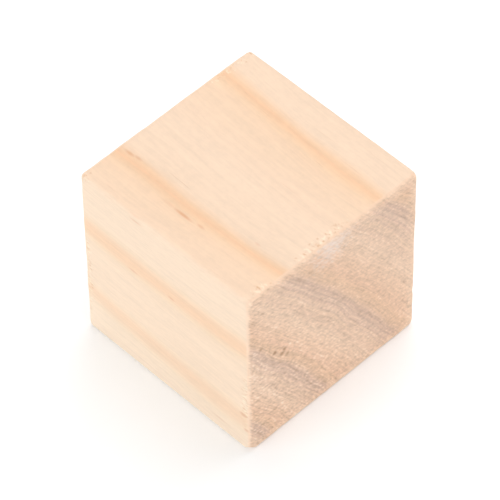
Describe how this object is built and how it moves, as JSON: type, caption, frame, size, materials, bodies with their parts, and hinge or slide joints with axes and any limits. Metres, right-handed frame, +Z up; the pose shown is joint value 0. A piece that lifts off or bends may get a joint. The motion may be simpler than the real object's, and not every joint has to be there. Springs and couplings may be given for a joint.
{
  "type": "wood block",
  "caption": "Small solid pine cube with softly sanded arrises and corners, grain running from end to end.",
  "frame": {"origin": "middle of the bottom face, on the surface that the block stands on", "axes": "+X along the grain, so both X faces are end grain; +Y across the grain; +Z up"},
  "size_m": [0.03, 0.03, 0.03],
  "materials": {
    "pine": "planed and sanded, bare"
  },
  "bodies": {
    "root": {"wood_block": "pine"}
  },
  "joints": []
}
